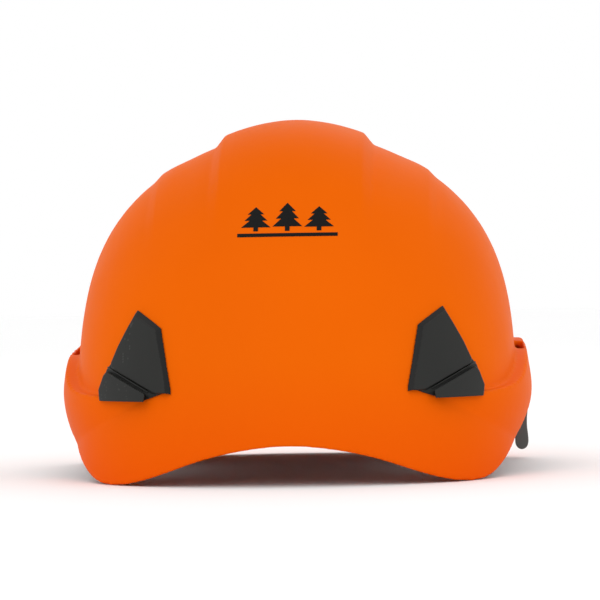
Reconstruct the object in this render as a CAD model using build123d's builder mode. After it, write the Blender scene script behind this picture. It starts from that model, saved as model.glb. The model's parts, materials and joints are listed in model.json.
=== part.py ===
from build123d import *
from math import atan2, cos, degrees, hypot, pi, radians, sin, sqrt
import os

# Climbing-style arborist helmet: ribbed shell, side plates, lamp clips and a
# webbing suspension with a knob-adjusted nape cradle. The wearer faces -Y, +Z is up.

# ---- overall size ----
dome_half_width = 105.4
dome_front_reach = 135.0
dome_rear_reach = 124.0
dome_height = 148.0
fan_y = 5.7
fan_z = 15.0
wall = 2.6
brim_front_flare = 16.0
brim_rear_flare = 12.0
dome_front_power = 2.2
dome_rear_power = 2.35
dome_side_power = 1.8
dome_side_root = 0.268
fan_chord = 6.0

# ---- raised crown band and its stepped facets ----
crown_half = 33.4
facet_start = 38.1
facet_end = 64.4
facet_foot = 68.1
crown_lift = 6.9
crown_sag = 1.6
facet_lifts = [0.8, 0.6, 0.5, 1.0, 1.4]
crown_samples = 3
side_samples = 9

# ---- skirt that carries the accessory pockets ----
skirt_heights = [-6.0, 9.5, 18.0, 28.0, 38.0, 50.0, 60.0, 72.0]
skirt_half_widths = [101.2, 105.2, 108.3, 111.3, 112.8, 111.7, 110.4, 108.6]
skirt_front = 128.0
skirt_rear = 117.0
skirt_power = 2.9
skirt_samples = 28
shelf_wall = 2.4
shelf_line = [
    (-102.3, 40.0), (-84.3, 40.6), (-68.3, 42.8), (-50.3, 47.6), (-32.3, 53.0), (-16.3, 56.6),
    (3.7, 58.6), (23.7, 60.6), (41.7, 61.4), (59.7, 57.5), (77.7, 49.5), (97.7, 40.0),
]

# ---- rim ----
side_rim = [
    (-88.3, 0.0), (-76.3, 3.0), (-63.3, 10.0), (-46.3, 21.0), (-24.3, 32.0), (5.7, 37.0),
    (31.7, 32.0), (51.7, 18.0), (67.7, 6.0), (81.7, 1.2), (97.7, 0.3), (119.7, 2.0), (147.7, 8.0),
]
front_rim = [
    (-108.0, 27.0), (-104.5, 18.6), (-101.5, 13.2), (-98.0, 8.2), (-94.0, 4.0), (-89.0, 1.0),
    (-83.0, 0.0), (-74.0, 0.8), (-60.0, 4.6), (-40.0, 11.6), (-20.0, 16.2), (0.0, 18.0),
    (20.0, 16.2), (40.0, 11.6), (60.0, 4.6), (74.0, 0.8), (83.0, 0.0), (89.0, 1.0),
    (94.0, 4.0), (98.0, 8.2), (101.5, 13.2), (104.5, 18.6), (108.0, 27.0),
]
front_rim_depth = 50.0


# ---- accessory pockets in the skirt ----
pocket_front = -18.3
pocket_rear = 30.7
pocket_wall = 2.0
pocket_wall_inner = 102.7
pocket_wall_outer = 111.4
pocket_low = 28.0
pocket_mid = 38.0
accessory_slot_x = 107.05
accessory_slot_width = 4.2
accessory_slot_length = 30.0
accessory_slot_y = 4.0

# ---- dark side plates and front lamp clips, outlined as seen from the front ----
fit_gap = 0.05
plate_proud = 2.3
plate_outline = [
    (70.0, 79.3), (74.8, 71.2), (79.3, 63.0), (82.8, 55.2), (82.2, 52.6), (61.8, 41.9), (54.0, 41.6),
    (54.4, 45.0), (59.2, 71.4), (62.0, 73.6),
]
plate_peg_x = 70.0
plate_peg_z = 60.0
plate_peg_radius = 3.0
plate_peg_end = -92.0
plate_peg_start = -112.0
retainer_outer = 5.0
retainer_thickness = 2.4
seat_proud = 0.9
seat_outline = [(82.4, 55.6), (85.2, 52.0), (88.2, 43.6), (87.6, 38.4), (66.2, 38.4), (56.4, 41.9)]
clip_proud = 4.8
clip_outline = [(84.6, 51.4), (86.2, 49.6), (88.6, 43.0), (88.0, 38.0), (66.0, 38.0), (65.6, 41.4)]
clip_peg_x = 80.0
clip_peg_z = 43.0
clip_peg_radius = 1.8
clip_peg_end = -93.5
clip_peg_start = -101.5

# ---- rear lamp clips ----
rear_clip_y = 66.0
rear_clip_width = 16.0
rear_clip_low = 14.0
rear_clip_high = 36.0
rear_clip_inner = 99.0
rear_clip_outer = 109.2
rear_clip_step = 24.0
rear_clip_foot = 105.6
rear_gap_x = 106.4
rear_ear = 3.0
rear_pin_x = 111.4
rear_pin_z = 31.0
rear_pin_radius = 1.3
rear_barrel = 2.6
rear_side_gap = 0.4
rear_peg_radius = 2.6
rear_peg_z = 19.0
rear_lever = [
    (108.8, 31.0), (108.0, 23.0), (107.0, 15.0), (106.4, 9.0), (107.2, 5.6), (109.8, 4.4),
    (112.2, 5.8), (113.0, 9.0), (112.4, 16.0), (112.8, 24.0), (114.0, 31.0),
]

# ---- webbing suspension ----
crown_y = -4.0
key_angles = [30.0, 90.0, 150.0, 210.0, 270.0, 330.0]
key_names = ["front_left", "side_left", "rear_left", "rear_right", "side_right", "front_right"]
key_width = 22.0
key_thick = 3.0
key_top = 91.0
key_shoulder = 67.9
key_bottom = 57.5
key_rear_bottom = 66.2
key_shoulder_width = 25.0
key_wall_gap = 1.2
key_slot_low = 83.5
key_slot_high = 86.5
key_slot_width = 20.0
socket_low = 68.0
socket_high = 80.0
socket_width = 28.0
socket_lip = 1.6
socket_window = 14.0
socket_gap = 0.15
strap_width = 19.0
strap_thick = 1.2
strap_low = 81.6
strap_bend = 88.0
strap_lean = (-0.62, 0.78)
strap_crown = 127.0
strap_layer = 1.9
strap_face_gap = 0.35
crown_pad_radius = 33.0
crown_pad_thick = 4.5
crown_pad_rim_drop = 3.4

# ---- headband ----
band_y = -2.0
band_half_width = 84.8
band_front = 108.6
band_thick = 1.6
band_low = 41.0
band_high = 63.0
band_rear = 0.0
band_notch_front = -4.6
band_notch_high = 47.5
lug_high = 70.5
lug_width = 15.0
peg_z = 64.8
peg_radius = 2.5
soft_gap = 0.3
sweat_thick = 3.2
sweat_low = 39.0
sweat_high = 65.5
sweat_end_y = -34.0

# ---- nape cradle and its racks ----
ring_y = 7.0
ring_z = 52.0
pin_y = -10.0
pin_radius = 3.0
running_gap = 0.05
pin_neck = 2.0
pin_head = 5.5
hanger_inner = 85.3
hanger_thick = 1.8
hanger_front = 8.0
loop_y = 6.0
loop_length = 7.0
loop_inner = 78.0
loop_wall = 1.6
rack_radii = [81.2, 82.8]
rack_thick = 1.2
rack_half_height = 9.0
rack_first_deg = -3.5
rack_last_deg = 110.0
rack_slot_half_deg = 15.0
rack_slot_plain = 6.6
sleeve_inner = 79.6
sleeve_wall = 1.2
sleeve_outer = 85.6
sleeve_half_deg = 36.0
sleeve_half_height = 11.2
sleeve_cavity_half = 9.6
nape_pad_inner = 75.4
nape_pad_half_deg = 30.0
nape_pad_half = 9.6

# ---- pinion and adjuster knob ----
pinion_teeth = 8
pinion_pitch = 4.8
pinion_tip = 5.8
pinion_root = 3.7
pinion_tooth = 1.15
pinion_tooth_tip = 0.7
pinion_front = 90.1 - 9.0 + ring_y
pinion_rear = 93.2 - 9.0 + ring_y
rack_tooth_tip_z = 4.4
rack_tooth_root_z = 6.6
rack_tooth_tip = 0.8
rack_tooth_root = 1.6
sleeve_port = 6.4
shaft_radius = 4.0
housing_radius = 15.0
housing_rear = 98.0
housing_ear_x = 28.0
housing_ear_half = 9.0
housing_ear_rear = 95.0
housing_screw_x = 22.0
housing_screw_radius = 1.5
housing_screw_head = 2.9
housing_screw_end = 89.0
knob_front = 98.5
knob_rear = 106.5
knob_radius = 17.5
knob_lip = 19.0
knob_lip_thick = 1.2
grip_radius = 21.0
grip_scallops = 14
grip_scallop_radius = 2.2
knob_screw_radius = 2.0
knob_screw_head = 3.6
knob_recess = 2.4

os.makedirs("parts", exist_ok=True)


def smooth(low, high, value):
    share = min(1.0, max(0.0, (value - low) / (high - low)))
    return share * share * (3 - 2 * share)


def side_reach(fan_deg, inset):
    """Distance from the fan axis to the surface in the middle plane; 0 is the front."""
    turn = radians(fan_deg)
    along, up = cos(turn), sin(turn)
    reach, power = (dome_front_reach, dome_front_power)
    if along < 0:
        reach, power = (dome_rear_reach, dome_rear_power)
    plain = ((abs(along) / reach) ** power + (abs(up) / dome_height) ** power) ** (-1 / power)
    if fan_deg < 90:
        brim = brim_front_flare * (1 - smooth(-14, 24, fan_deg))
    else:
        brim = brim_rear_flare * (1 - smooth(-14, 22, 180 - fan_deg))
    return plain + brim - inset


def dome_profile(fan_deg, inset):
    """One fan section: crown, step, facet, step and side, mirrored about the middle."""
    reach = side_reach(fan_deg, inset)
    half = dome_half_width - inset
    fade = smooth(42, 66, fan_deg) * (1 - smooth(120, 146, fan_deg))

    def plain(x):
        return reach * (1 - min(1.0, abs(x) / half) ** dome_side_power) ** dome_side_root

    crown = []
    for i in range(-crown_samples, crown_samples + 1):
        x = crown_half * i / crown_samples
        crown.append((x, plain(x) + fade * (crown_lift - crown_sag * (x / crown_half) ** 2)))
    facet = []
    for i, lift in enumerate(facet_lifts):
        x = facet_start + (facet_end - facet_start) * i / (len(facet_lifts) - 1)
        facet.append((x, plain(x) + fade * lift))
    end = half * 0.9995
    fine = []
    for i in range(400):
        x = facet_foot + (end - facet_foot) * (1 - (1 - i / 399) ** 4)
        fine.append((x, plain(x)))
    run = [0.0]
    for a, b in zip(fine, fine[1:]):
        run.append(run[-1] + hypot(b[0] - a[0], b[1] - a[1]))
    side = [fine[0]]
    k = 0
    for i in range(1, side_samples):
        goal = run[-1] * i / side_samples
        while run[k + 1] < goal:
            k += 1
        share = (goal - run[k]) / (run[k + 1] - run[k])
        a, b = fine[k], fine[k + 1]
        side.append((a[0] + (b[0] - a[0]) * share, a[1] + (b[1] - a[1]) * share))
    side.append(fine[-1])
    return crown, facet, side, end


def dome(inset, first_deg, last_deg, step_deg):
    """Solid dome lofted through planes hinged on the fan axis."""
    count = int((last_deg - first_deg) / step_deg)
    sections = []
    for i in range(count + 1):
        fan_deg = first_deg + (last_deg - first_deg) * i / count
        turn = radians(fan_deg)
        crown, facet, side, end = dome_profile(fan_deg, inset)
        plane = Plane(
            origin=(0, fan_y, fan_z), x_dir=(1, 0, 0), z_dir=(0, -sin(turn), -cos(turn))
        )
        with BuildSketch(plane) as section:
            with BuildLine():
                Spline(*crown)
                for hand in (1, -1):
                    crown_end = (hand * crown[-1][0], crown[-1][1])
                    facet_side = [(hand * x, y) for x, y in facet]
                    side_side = [(hand * x, y) for x, y in side]
                    Line(crown_end, facet_side[0])
                    Spline(*facet_side)
                    Line(facet_side[-1], side_side[0])
                    Spline(*side_side)
                    Line(side_side[-1], (hand * end, fan_chord))
                Line((-end, fan_chord), (end, fan_chord))
            make_face()
        sections.append(section.sketch.face())
    with BuildPart() as solid:
        loft(sections=sections)
    return solid.part


def skirt_point(turn, half_width, front, rear):
    """Point on the skirt's plan; turn 0 is the wearer's left, a quarter turn the rear."""
    c, s = cos(turn), sin(turn)
    depth = rear if s > 0 else front
    radius = (abs(c / half_width) ** skirt_power + abs(s / depth) ** skirt_power) ** (-1 / skirt_power)
    return (radius * c, fan_y + radius * s)


def skirt(inset, shelf_drop):
    """Solid skirt under the shelf line."""
    with BuildPart() as solid:
        for height, half_width in zip(skirt_heights, skirt_half_widths):
            points = []
            for i in range(skirt_samples):
                turn = 2 * pi * (i + 0.5) / skirt_samples
                points.append(
                    skirt_point(turn, half_width - inset, skirt_front - inset, skirt_rear - inset)
                )
            with BuildSketch(Plane.XY.offset(height)):
                with BuildLine():
                    Spline(*points, periodic=True)
                make_face()
        loft()
        with BuildSketch(Plane.YZ) as above:
            with BuildLine():
                line = [(y, z - shelf_drop) for y, z in shelf_line]
                Spline(*line)
                Polyline(
                    line[-1], (200, line[-1][1]), (200, 120), (-200, 120), (-200, line[0][1]), line[0]
                )
            make_face()
        extrude(amount=200, both=True, mode=Mode.SUBTRACT)
    return solid.part


def rim_cutter():
    """Everything under the rim line."""
    with BuildPart() as solid:
        with BuildSketch(Plane.YZ):
            with BuildLine():
                Spline(*side_rim)
                Polyline(
                    side_rim[-1], (200, side_rim[-1][1]), (200, -80), (side_rim[0][0], -80),
                    side_rim[0]
                )
            make_face()
        extrude(amount=200, both=True)
        with BuildSketch(Plane.XZ.offset(front_rim_depth)):
            with BuildLine():
                Spline(*front_rim)
                Polyline(
                    front_rim[-1], (200, front_rim[-1][1]), (200, -80), (-200, -80),
                    (-200, front_rim[0][1]), front_rim[0]
                )
            make_face()
        extrude(amount=150)
        with Locations((0, 0, -40)):
            Box(400, 400, 80)
    return solid.part



def is_inside(x, y, z, inset):
    """True where the point lies in the dome reduced by the inset."""
    fan_deg = degrees(atan2(z - fan_z, fan_y - y))
    half = dome_half_width - inset
    if abs(x) >= half:
        return False
    level = side_reach(fan_deg, inset) * (1 - (abs(x) / half) ** dome_side_power) ** dome_side_root
    return hypot(z - fan_z, y - fan_y) < level


def inner_radius(angle_deg, z):
    """Distance from the crown axis to the shell's inner face along a plan direction."""
    radius = 60.0
    turn = radians(angle_deg)
    while is_inside(radius * sin(turn), crown_y - radius * cos(turn), z, wall):
        radius += 0.1
    return radius


def key_face(angle_deg):
    """Radius of a strap key's inner face."""
    return inner_radius(angle_deg, key_top) - key_wall_gap - key_thick


def radial_plane(angle_deg, radius, z):
    """Plane facing outward at a plan direction, with its own y axis upward."""
    turn = radians(angle_deg)
    return Plane(
        origin=(radius * sin(turn), crown_y - radius * cos(turn), z),
        x_dir=(cos(turn), sin(turn), 0),
        z_dir=(sin(turn), -cos(turn), 0),
    )


# ---- shell ----
outer_dome = dome(0, -20, 200, 11)
inner_dome = dome(wall, -24, 204, 12)
outer_skirt = skirt(0, 0)
inner_skirt = skirt(wall, shelf_wall)
below_rim = rim_cutter()
mid_dome = dome(wall / 2, 0, 180, 12)
grown = dome(-fit_gap, -20, 200, 11) + skirt(-fit_gap, -fit_gap)

pocket_line = [(y, z - shelf_wall / 2) for y, z in shelf_line if pocket_front < y < pocket_rear]
with BuildPart() as pocket_walls:
    for hand in (1, -1):
        with BuildSketch(Plane.YZ.offset(hand * pocket_wall_inner)):
            with BuildLine():
                Polyline(
                    (pocket_front, pocket_low), (pocket_front, pocket_line[0][1]), *pocket_line,
                    (pocket_rear, pocket_line[-1][1]), (pocket_rear, pocket_low), close=True,
                )
            make_face()
        extrude(amount=hand * pocket_wall)
        for y, top in ((pocket_front, pocket_line[0][1]), (pocket_rear, pocket_line[-1][1])):
            with BuildSketch(Plane.XZ.offset(-y)):
                with BuildLine():
                    Polyline(
                        (hand * pocket_wall_inner, pocket_low), (hand * pocket_wall_outer, pocket_low),
                        (hand * (pocket_wall_outer + 1), pocket_mid), (hand * (pocket_wall_outer - 1.6), top),
                        (hand * pocket_wall_inner, top), close=True,
                    )
                make_face()
            extrude(amount=pocket_wall / 2, both=True)

with BuildPart() as slot_cutters:
    for hand in (1, -1):
        with Locations((hand * accessory_slot_x, accessory_slot_y, 58)):
            Box(accessory_slot_width, accessory_slot_length, 24)

with BuildPart() as sockets:
    for angle in key_angles:
        face = key_face(angle)
        middle = (socket_low + socket_high) / 2
        tall = socket_high - socket_low
        with Locations(radial_plane(angle, face - socket_lip, middle)):
            Box(socket_width, tall, 30, align=(Align.CENTER, Align.CENTER, Align.MIN))
    add(mid_dome, mode=Mode.INTERSECT)
    for angle in key_angles:
        face = key_face(angle)
        middle = (socket_low + socket_high) / 2
        tall = socket_high - socket_low
        with Locations(radial_plane(angle, face - socket_gap, middle)):
            Box(
                key_width + 2 * socket_gap, tall + 2, key_thick + 2 * socket_gap,
                align=(Align.CENTER, Align.CENTER, Align.MIN), mode=Mode.SUBTRACT,
            )
        with Locations(radial_plane(angle, face - socket_lip - 1, middle)):
            Box(
                socket_window, tall + 2, socket_lip + 2,
                align=(Align.CENTER, Align.CENTER, Align.MIN), mode=Mode.SUBTRACT,
            )

with BuildPart() as shell_holes:
    for hand in (1, -1):
        with Locations(Plane(origin=(hand * plate_peg_x, 0, plate_peg_z), z_dir=(0, -1, 0))):
            Cylinder(
                plate_peg_radius + running_gap, 140, align=(Align.CENTER, Align.CENTER, Align.MIN)
            )
        with Locations(Plane(origin=(hand * clip_peg_x, 0, clip_peg_z), z_dir=(0, -1, 0))):
            Cylinder(
                clip_peg_radius + running_gap, 140, align=(Align.CENTER, Align.CENTER, Align.MIN)
            )
        with Locations(Plane(origin=(hand * 90, rear_clip_y, rear_peg_z), z_dir=(hand, 0, 0))):
            Cylinder(
                rear_peg_radius + running_gap, 30, align=(Align.CENTER, Align.CENTER, Align.MIN)
            )

outside = outer_dome + outer_skirt
inside = inner_dome + inner_skirt
with BuildPart() as shell:
    add(outside - inside)
    add(pocket_walls)
    add(sockets)
    add(slot_cutters, mode=Mode.SUBTRACT)
    add(shell_holes, mode=Mode.SUBTRACT)
    add(below_rim, mode=Mode.SUBTRACT)
shell.part.label = "shell"
export_step(shell.part, "parts/shell.step")


# ---- side plates, their retainers and the front lamp clips ----
def front_prism(outline, hand):
    """Outline seen from the front, run through the front half of the dome."""
    with BuildPart() as prism:
        with BuildSketch(Plane.XZ.offset(front_rim_depth)):
            with BuildLine():
                Polyline(*[(hand * x, z) for x, z in outline], close=True)
            make_face()
        extrude(amount=90)
    return prism.part


plate_skin = dome(-plate_proud, 0, 90, 11)
seat_skin = dome(-seat_proud, 0, 90, 11)
seat_grown = dome(-seat_proud - fit_gap, 0, 90, 11)
clip_skin = dome(-clip_proud, 0, 90, 11)
for hand, side in ((1, "left"), (-1, "right")):
    with BuildPart() as clip_seat:
        add(front_prism(seat_outline, hand))
        add(seat_skin, mode=Mode.INTERSECT)
        with Locations(Plane(origin=(hand * clip_peg_x, 0, clip_peg_z), z_dir=(0, -1, 0))):
            Cylinder(
                clip_peg_radius + fit_gap, 140, align=(Align.CENTER, Align.CENTER, Align.MIN),
                mode=Mode.SUBTRACT,
            )

    with BuildPart() as side_plate:
        add(front_prism(plate_outline, hand))
        add(plate_skin, mode=Mode.INTERSECT)
        add(clip_seat.part)
        add(grown, mode=Mode.SUBTRACT)
        with Locations(Plane(origin=(hand * plate_peg_x, plate_peg_end, plate_peg_z), z_dir=(0, -1, 0))):
            Cylinder(
                plate_peg_radius, plate_peg_end - plate_peg_start,
                align=(Align.CENTER, Align.CENTER, Align.MIN),
            )
        add(plate_skin, mode=Mode.INTERSECT)
    side_plate.part.label = "side_plate_" + side
    export_step(side_plate.part, "parts/side_plate_" + side + ".step")

    with BuildPart() as retainer:
        with Locations(
            Plane(origin=(hand * plate_peg_x, plate_peg_end + 0.6, plate_peg_z), z_dir=(0, -1, 0))
        ):
            Cylinder(
                retainer_outer, retainer_thickness, align=(Align.CENTER, Align.CENTER, Align.MIN)
            )
            Cylinder(
                plate_peg_radius + running_gap, retainer_thickness,
                align=(Align.CENTER, Align.CENTER, Align.MIN), mode=Mode.SUBTRACT,
            )
    retainer.part.label = "plate_retainer_" + side
    export_step(retainer.part, "parts/plate_retainer_" + side + ".step")

    with BuildPart() as front_clip:
        add(front_prism(clip_outline, hand))
        add(clip_skin, mode=Mode.INTERSECT)
        add(seat_grown, mode=Mode.SUBTRACT)
        add(grown, mode=Mode.SUBTRACT)
        with Locations(
            Plane(origin=(hand * clip_peg_x, clip_peg_end, clip_peg_z), z_dir=(0, -1, 0))
        ):
            Cylinder(
                clip_peg_radius, clip_peg_end - clip_peg_start,
                align=(Align.CENTER, Align.CENTER, Align.MIN),
            )
    front_clip.part.label = "front_lamp_clip_" + side
    export_step(front_clip.part, "parts/front_lamp_clip_" + side + ".step")

# ---- rear lamp clips ----
ear_inner = rear_clip_width / 2 - rear_ear
for hand, side in ((1, "left"), (-1, "right")):
    with BuildPart() as rear_base:
        for outer_x, low, high in (
            (rear_clip_outer, rear_clip_step, rear_clip_high),
            (rear_clip_foot, rear_clip_low, rear_clip_step),
        ):
            with Locations((hand * (rear_clip_inner + outer_x) / 2, rear_clip_y, (low + high) / 2)):
                Box(outer_x - rear_clip_inner, rear_clip_width, high - low)
        with BuildSketch(Plane.XZ.offset(-rear_clip_y)):
            with Locations((hand * rear_pin_x, rear_pin_z)):
                Circle(rear_barrel)
            with Locations((hand * (rear_pin_x - rear_barrel), rear_pin_z)):
                Rectangle(2 * rear_barrel, 2 * rear_barrel)
        extrude(amount=rear_clip_width / 2, both=True)
        with Locations((hand * (rear_gap_x + 6), rear_clip_y, rear_pin_z)):
            Box(12, 2 * ear_inner, 30, mode=Mode.SUBTRACT)
        with Locations(Plane(origin=(hand * rear_pin_x, rear_clip_y, rear_pin_z), z_dir=(0, 1, 0))):
            Cylinder(rear_pin_radius, 30, mode=Mode.SUBTRACT)
        add(grown, mode=Mode.SUBTRACT)
        with Locations(Plane(origin=(hand * 98, rear_clip_y, rear_peg_z), z_dir=(hand, 0, 0))):
            Cylinder(rear_peg_radius, 6, align=(Align.CENTER, Align.CENTER, Align.MIN))
    rear_base.part.label = "rear_clip_base_" + side
    export_step(rear_base.part, "parts/rear_clip_base_" + side + ".step")

    with BuildPart() as rear_pin:
        with Locations(Plane(origin=(hand * rear_pin_x, rear_clip_y, rear_pin_z), z_dir=(0, 1, 0))):
            Cylinder(rear_pin_radius, rear_clip_width)
    rear_pin.part.label = "rear_clip_pin_" + side
    export_step(rear_pin.part, "parts/rear_clip_pin_" + side + ".step")

    with BuildPart() as lever:
        with BuildSketch(Plane.XZ.offset(-rear_clip_y)):
            with BuildLine():
                Spline(*[(hand * x, z) for x, z in rear_lever])
                Line((hand * rear_lever[-1][0], rear_pin_z), (hand * rear_lever[0][0], rear_pin_z))
            make_face()
            with Locations((hand * rear_pin_x, rear_pin_z)):
                Circle(rear_barrel)
                Circle(rear_pin_radius + running_gap, mode=Mode.SUBTRACT)
        extrude(amount=ear_inner - rear_side_gap, both=True)
    lever.part.label = "rear_clip_" + side
    export_step(lever.part, "parts/rear_clip_" + side + ".step")

# ---- strap keys ----
for angle, name in zip(key_angles, key_names):
    face = key_face(angle)
    low = key_rear_bottom if name.startswith("rear") else key_bottom
    with BuildPart() as key:
        with BuildSketch(radial_plane(angle, face, 0)):
            with Locations((0, (low + key_top) / 2)):
                RectangleRounded(key_width, key_top - low, 0.9)
            if low == key_bottom:
                with Locations((0, (low + key_shoulder) / 2)):
                    RectangleRounded(key_shoulder_width, key_shoulder - low, 0.9)
                with Locations((0, peg_z)):
                    Circle(peg_radius + running_gap, mode=Mode.SUBTRACT)
            with Locations((0, (key_slot_low + key_slot_high) / 2)):
                RectangleRounded(key_slot_width, key_slot_high - key_slot_low, 0.9, mode=Mode.SUBTRACT)
        extrude(amount=key_thick)
    key.part.label = "strap_key_" + name
    export_step(key.part, "parts/strap_key_" + name + ".step")

# ---- crown straps and pad ----
for i, name in enumerate(["side", "left_front", "right_front"]):
    first = key_angles[(i * 2 + 1) % 6]
    if i == 1:
        first = key_angles[0]
    if i == 2:
        first = key_angles[5]
    near = key_face(first) - strap_face_gap - strap_thick / 2
    far = key_face(first + 180) - strap_face_gap - strap_thick / 2
    crown = strap_crown + strap_layer * i
    half = strap_thick / 2
    turn = radians(first)
    plane = Plane(
        origin=(0, crown_y, 0), x_dir=(sin(turn), -cos(turn), 0), z_dir=(-cos(turn), -sin(turn), 0)
    )
    with BuildPart() as strap:
        with BuildSketch(plane):
            with BuildLine():
                Spline(
                    (near + half, strap_bend), (0, crown + half), (-far - half, strap_bend),
                    tangents=[strap_lean, (strap_lean[0], -strap_lean[1])],
                )
                Polyline(
                    (-far - half, strap_bend), (-far - half, strap_low), (-far + half, strap_low),
                    (-far + half, strap_bend),
                )
                Spline(
                    (-far + half, strap_bend), (0, crown - half), (near - half, strap_bend),
                    tangents=[(-strap_lean[0], strap_lean[1]), (-strap_lean[0], -strap_lean[1])],
                )
                Polyline(
                    (near - half, strap_bend), (near - half, strap_low), (near + half, strap_low),
                    (near + half, strap_bend),
                )
            make_face()
        extrude(amount=strap_width / 2, both=True)
    strap.part.label = "crown_strap_" + name
    export_step(strap.part, "parts/crown_strap_" + name + ".step")

with BuildPart() as crown_pad:
    pad_top = strap_crown - strap_thick / 2 - soft_gap
    with BuildSketch(Plane.XZ):
        with BuildLine():
            Polyline(
                (0, pad_top), (crown_pad_radius, pad_top - crown_pad_rim_drop),
                (crown_pad_radius, pad_top - crown_pad_rim_drop - crown_pad_thick),
                (0, pad_top - crown_pad_thick), close=True,
            )
        make_face()
    revolve(axis=Axis.Z)
crown_pad_part = Pos(0, crown_y, 0) * crown_pad.part
crown_pad_part.label = "crown_pad"
export_step(crown_pad_part, "parts/crown_pad.step")


# ---- headband, sweatband and temple pins ----
def band_sketch(half_width, front, thick):
    """Plan of a band that follows the front half of an ellipse."""
    with BuildSketch() as plan:
        with Locations((0, band_y)):
            Ellipse(half_width, front)
            Ellipse(half_width - thick, front - thick, mode=Mode.SUBTRACT)
            with Locations((0, front)):
                Rectangle(4 * half_width, 2 * front, mode=Mode.SUBTRACT)
    return plan.sketch


def band_radius(angle_deg):
    """Distance from the crown axis to the headband's outer face along a plan direction."""
    turn = radians(angle_deg)
    radius = 60.0
    while (
        (radius * sin(turn) / band_half_width) ** 2
        + ((crown_y - radius * cos(turn) - band_y) / band_front) ** 2
    ) < 1:
        radius += 0.05
    return radius


with BuildPart() as lug_span:
    for angle in (30, 90, 270, 330):
        with Locations(radial_plane(angle, 50, (band_low + lug_high) / 2)):
            Box(
                lug_width, lug_high - band_low - 2, 90,
                align=(Align.CENTER, Align.CENTER, Align.MIN),
            )

with BuildPart() as lugs:
    add(band_sketch(band_half_width, band_front, band_thick))
    extrude(amount=lug_high)
    add(lug_span, mode=Mode.INTERSECT)

with BuildPart() as headband:
    with BuildSketch(Plane.XY.offset(band_low)):
        add(band_sketch(band_half_width, band_front, band_thick))
        for hand in (1, -1):
            with Locations((hand * (band_half_width - band_thick / 2), (band_y + band_rear) / 2)):
                Rectangle(band_thick, band_rear - band_y)
    extrude(amount=band_high - band_low)
    add(lugs)
    for angle in (30, 90, 270, 330):
        start = band_radius(angle) - band_thick / 2
        with Locations(radial_plane(angle, start, peg_z)):
            Cylinder(
                peg_radius, key_face(angle) + key_thick - start,
                align=(Align.CENTER, Align.CENTER, Align.MIN),
            )
    with Locations(Plane(origin=(0, pin_y, ring_z), z_dir=(1, 0, 0))):
        Cylinder(pin_neck + running_gap, 200, mode=Mode.SUBTRACT)
    with Locations((0, band_notch_front, band_notch_high)):
        Box(
            4 * band_half_width, 20, 20, align=(Align.CENTER, Align.MIN, Align.MAX),
            mode=Mode.SUBTRACT,
        )
headband.part.label = "headband"
export_step(headband.part, "parts/headband.step")

with BuildPart() as sweatband:
    inner_half = band_half_width - band_thick - soft_gap
    with BuildSketch(Plane.XY.offset(sweat_low)):
        add(band_sketch(inner_half, band_front - band_thick - soft_gap, sweat_thick))
        with Locations((0, sweat_end_y + 100)):
            Rectangle(300, 200, mode=Mode.SUBTRACT)
    extrude(amount=sweat_high - sweat_low)
sweatband.part.label = "sweatband"
export_step(sweatband.part, "parts/sweatband.step")

hanger_outer = hanger_inner + hanger_thick
band_inner = band_half_width - band_thick
for hand, side in ((1, "left"), (-1, "right")):
    with BuildPart() as temple_pin:
        with Locations(Plane(origin=(hand * (band_inner - 2.2), pin_y, ring_z), z_dir=(hand, 0, 0))):
            Cylinder(pin_neck + 2, 1.4, align=(Align.CENTER, Align.CENTER, Align.MIN))
            Cylinder(pin_neck, 5, align=(Align.CENTER, Align.CENTER, Align.MIN))
        with Locations(
            Plane(origin=(hand * (band_half_width + running_gap), pin_y, ring_z), z_dir=(hand, 0, 0))
        ):
            Cylinder(
                pin_radius, hanger_outer - band_half_width + 0.3,
                align=(Align.CENTER, Align.CENTER, Align.MIN),
            )
        with Locations(Plane(origin=(hand * (hanger_outer + 0.3), pin_y, ring_z), z_dir=(hand, 0, 0))):
            Cylinder(pin_head, 1.4, align=(Align.CENTER, Align.CENTER, Align.MIN))
    temple_pin.part.label = "temple_pin_" + side
    export_step(temple_pin.part, "parts/temple_pin_" + side + ".step")

    with BuildPart() as hanger:
        loop_rear = loop_y + loop_length
        loop_half = sleeve_cavity_half + loop_wall
        with BuildSketch(Plane(origin=(hand * hanger_inner, 0, ring_z), x_dir=(0, 1, 0), z_dir=(1, 0, 0))):
            with Locations(((pin_y - hanger_front + loop_rear) / 2, 0)):
                RectangleRounded(loop_rear - pin_y + hanger_front, 2 * hanger_front, 5)
            with Locations((loop_y + loop_length / 2, 0)):
                Rectangle(loop_length, 2 * loop_half)
            with Locations((pin_y, 0)):
                Circle(pin_radius + running_gap, mode=Mode.SUBTRACT)
        extrude(amount=hand * hanger_thick)
        with Locations(
            (hand * (loop_inner - loop_wall + hanger_inner + 0.4) / 2, loop_y + loop_length / 2, ring_z)
        ):
            Box(hanger_inner + 0.4 - loop_inner + loop_wall, loop_length, 2 * loop_half)
        with Locations((hand * (loop_inner + hanger_inner) / 2, loop_y + loop_length / 2, ring_z)):
            Box(
                hanger_inner - loop_inner, loop_length + 2, 2 * sleeve_cavity_half,
                mode=Mode.SUBTRACT,
            )
    hanger.part.label = "hanger_" + side
    export_step(hanger.part, "parts/hanger_" + side + ".step")


# ---- nape cradle ----
def ring_sector(inner_radius_mm, outer_radius_mm, half_height, first_deg, last_deg):
    """Solid arc about the ring's vertical axis; 90 degrees is the rear."""
    with BuildPart() as sector:
        with BuildSketch(Plane.XZ):
            with Locations(((inner_radius_mm + outer_radius_mm) / 2, 0)):
                Rectangle(outer_radius_mm - inner_radius_mm, 2 * half_height)
        revolve(axis=Axis.Z, revolution_arc=last_deg - first_deg)
    return Pos(0, ring_y, ring_z) * Rot(0, 0, first_deg) * sector.part


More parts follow.
